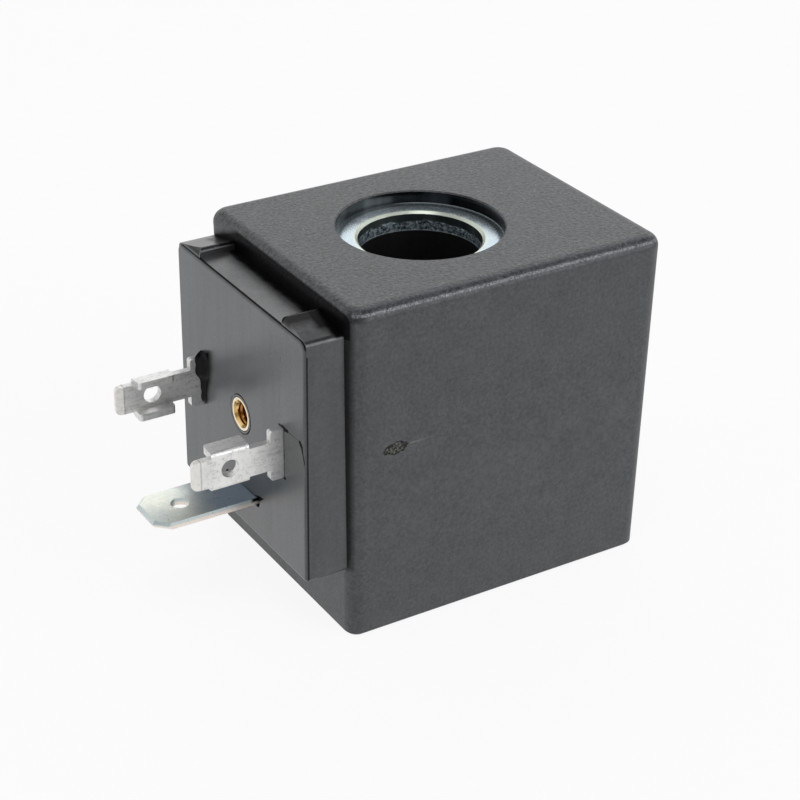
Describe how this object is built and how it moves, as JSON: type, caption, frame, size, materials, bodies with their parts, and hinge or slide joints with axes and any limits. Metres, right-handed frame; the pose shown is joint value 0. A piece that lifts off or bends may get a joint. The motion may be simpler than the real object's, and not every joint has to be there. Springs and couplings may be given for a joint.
{
  "type": "solenoid valve coil",
  "caption": "Moulded solenoid coil for a valve, with a steel yoke ring round a through bore and a square terminal block with upright power blades, a flat earth blade and a brass screw insert.",
  "frame": {"origin": "on the bore axis, level with the lower yoke face that seats on the valve", "axes": "+Z along the bore, away from the valve; -X out of the plug face; Y across the plug face"},
  "size_m": [0.0542, 0.0306, 0.0383],
  "materials": {
    "body_moulding": "black glass-filled plastic with a fine grain",
    "block_moulding": "black plastic, smoother than the body",
    "spool_moulding": "black plastic",
    "copper_wire": "enamelled copper",
    "tape": "yellow film tape",
    "yoke_steel": "bright zinc plate",
    "contact_tin": "tin plate",
    "earth_zinc": "zinc plate",
    "insert_brass": "plain brass",
    "sleeving": "woven glass sleeving",
    "solder": "solder"
  },
  "bodies": {
    "root": {"encapsulation": "body_moulding", "terminal_block": "block_moulding", "bobbin": "spool_moulding", "winding": "copper_wire", "winding_tape": "tape", "yoke_bracket": "yoke_steel", "yoke_closing_plate": "yoke_steel", "power_terminal_left": "contact_tin", "power_terminal_right": "contact_tin", "ground_terminal": "earth_zinc", "ground_rivet": "earth_zinc", "threaded_insert": "insert_brass", "start_lead": "copper_wire", "finish_lead": "copper_wire", "start_lead_sleeve": "sleeving", "finish_lead_sleeve": "sleeving", "start_solder_joint": "solder", "finish_solder_joint": "solder"}
  },
  "joints": []
}
